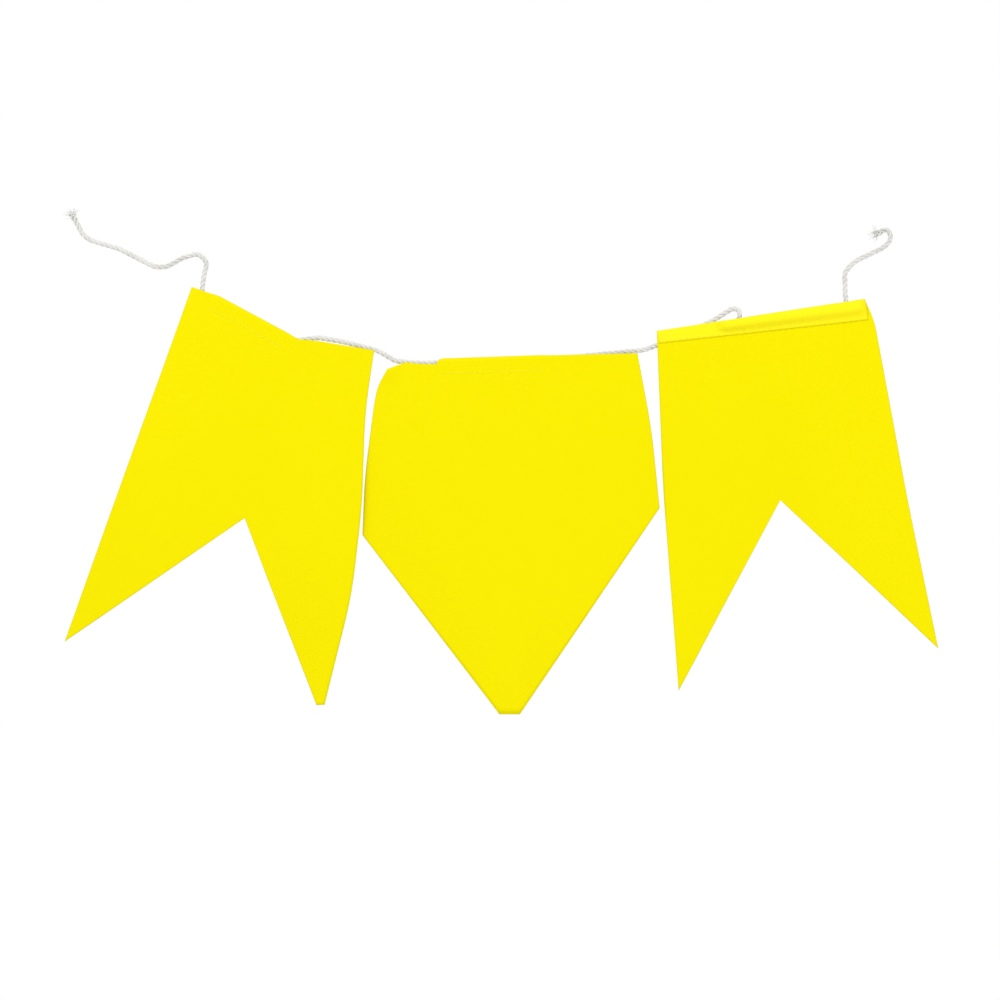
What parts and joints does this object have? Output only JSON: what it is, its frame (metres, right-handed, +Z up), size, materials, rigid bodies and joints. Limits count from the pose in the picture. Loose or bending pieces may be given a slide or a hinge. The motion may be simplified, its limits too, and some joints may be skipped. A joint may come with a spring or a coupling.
{
  "type": "flag bunting",
  "caption": "String of cloth flags, two with swallow tails and one pointed, that hang from hems on a twisted cord with loose ends for tying.",
  "frame": {"origin": "where the string is tied, in the middle of the straight length at the cord's left end (mount left_cord_end)", "axes": "+Z up as it hangs, -Y the side the flags' fronts face, +X along the string to the right as seen from the front"},
  "size_m": [0.4364, 0.0093, 0.2511],
  "materials": {
    "cloth": "matte",
    "cord": "matte",
    "thread": "satin"
  },
  "bodies": {
    "cord_left_end": {"cord_left_end": "cord"},
    "cord_left_tail": {"cord_left_tail": "cord"},
    "cord_left_run": {"cord_left_run": "cord"},
    "cord_left_gap": {"cord_left_gap": "cord"},
    "cord_centre_run": {"cord_centre_run": "cord"},
    "cord_right_gap": {"cord_right_gap": "cord"},
    "cord_right_run": {"cord_right_run": "cord"},
    "cord_right_tail": {"cord_right_tail": "cord"},
    "cord_right_end": {"cord_right_end": "cord"},
    "left_flag_hem": {"left_flag_hem": "cloth", "left_flag_seam": "thread"},
    "left_flag_cloth": {"left_flag_cloth": "cloth"},
    "centre_flag_hem": {"centre_flag_hem": "cloth", "centre_flag_seam": "thread"},
    "centre_flag_cloth": {"centre_flag_cloth": "cloth"},
    "right_flag_hem": {"right_flag_hem": "cloth", "right_flag_seam": "thread"},
    "right_flag_cloth": {"right_flag_cloth": "cloth"}
  },
  "joints": [
    {"name": "left_end_bend", "type": "hinge", "parent": "cord_left_end", "child": "cord_left_tail", "pos_m": [0.00285, 0, -0.0055], "axis": [0, 1, 0], "range_deg": [-60, 60]},
    {"name": "left_tail_bend", "type": "hinge", "parent": "cord_left_tail", "child": "cord_left_run", "pos_m": [0.06355, 0, -0.025], "axis": [0, 1, 0], "range_deg": [-45, 45]},
    {"name": "left_gap_sag", "type": "hinge", "parent": "cord_left_run", "child": "cord_left_gap", "pos_m": [0.15035, 0.0013, -0.0635], "axis": [0, 1, 0], "range_deg": [-25, 25]},
    {"name": "left_gap_fold", "type": "hinge", "parent": "cord_left_gap", "child": "cord_centre_run", "pos_m": [0.15885, 0.0022, -0.0685], "axis": [0, 0, 1], "range_deg": [-150, 150]},
    {"name": "right_gap_fold", "type": "hinge", "parent": "cord_centre_run", "child": "cord_right_gap", "pos_m": [0.28335, 0.0042, -0.0629], "axis": [0, 0, -1], "range_deg": [-130, 130]},
    {"name": "right_gap_sag", "type": "hinge", "parent": "cord_right_gap", "child": "cord_right_run", "pos_m": [0.29485, 0.00562, -0.0585], "axis": [0, -1, 0], "range_deg": [-10, 25]},
    {"name": "right_tail_bend", "type": "hinge", "parent": "cord_right_run", "child": "cord_right_tail", "pos_m": [0.38365, 0.0022, -0.0325], "axis": [0, 1, 0], "range_deg": [-45, 45]},
    {"name": "right_end_bend", "type": "hinge", "parent": "cord_right_tail", "child": "cord_right_end", "pos_m": [0.40285, 0.0022, -0.0119], "axis": [0, 1, 0], "range_deg": [-45, 45]},
    {"name": "left_flag_slide", "type": "slide", "parent": "cord_left_run", "child": "left_flag_hem", "axis": [0.8801, 0, -0.4747], "range_m": [-0.0022, 0.0022]},
    {"name": "centre_flag_slide", "type": "slide", "parent": "cord_centre_run", "child": "centre_flag_hem", "axis": [0.9994, 0, 0.0349], "range_m": [-0.003, 0.003]},
    {"name": "right_flag_slide", "type": "slide", "parent": "cord_right_run", "child": "right_flag_hem", "axis": [0.9884, 0, 0.1521], "range_m": [-0.0024, 0.0024]},
    {"name": "left_flag_swing", "type": "hinge", "parent": "left_flag_hem", "child": "left_flag_cloth", "pos_m": [0.05201, -0.00172, -0.04709], "axis": [-0.9426, 0, 0.3338], "range_deg": [-85, 85]},
    {"name": "centre_flag_swing", "type": "hinge", "parent": "centre_flag_hem", "child": "centre_flag_cloth", "pos_m": [0.21719, 0.00048, -0.0759], "axis": [-0.9994, 0, -0.0349], "range_deg": [-85, 85]},
    {"name": "right_flag_swing", "type": "hinge", "parent": "right_flag_hem", "child": "right_flag_cloth", "pos_m": [0.29168, 0.00392, -0.06537], "axis": [0.9884, 0, 0.1521], "range_deg": [-85, 85]}
  ]
}
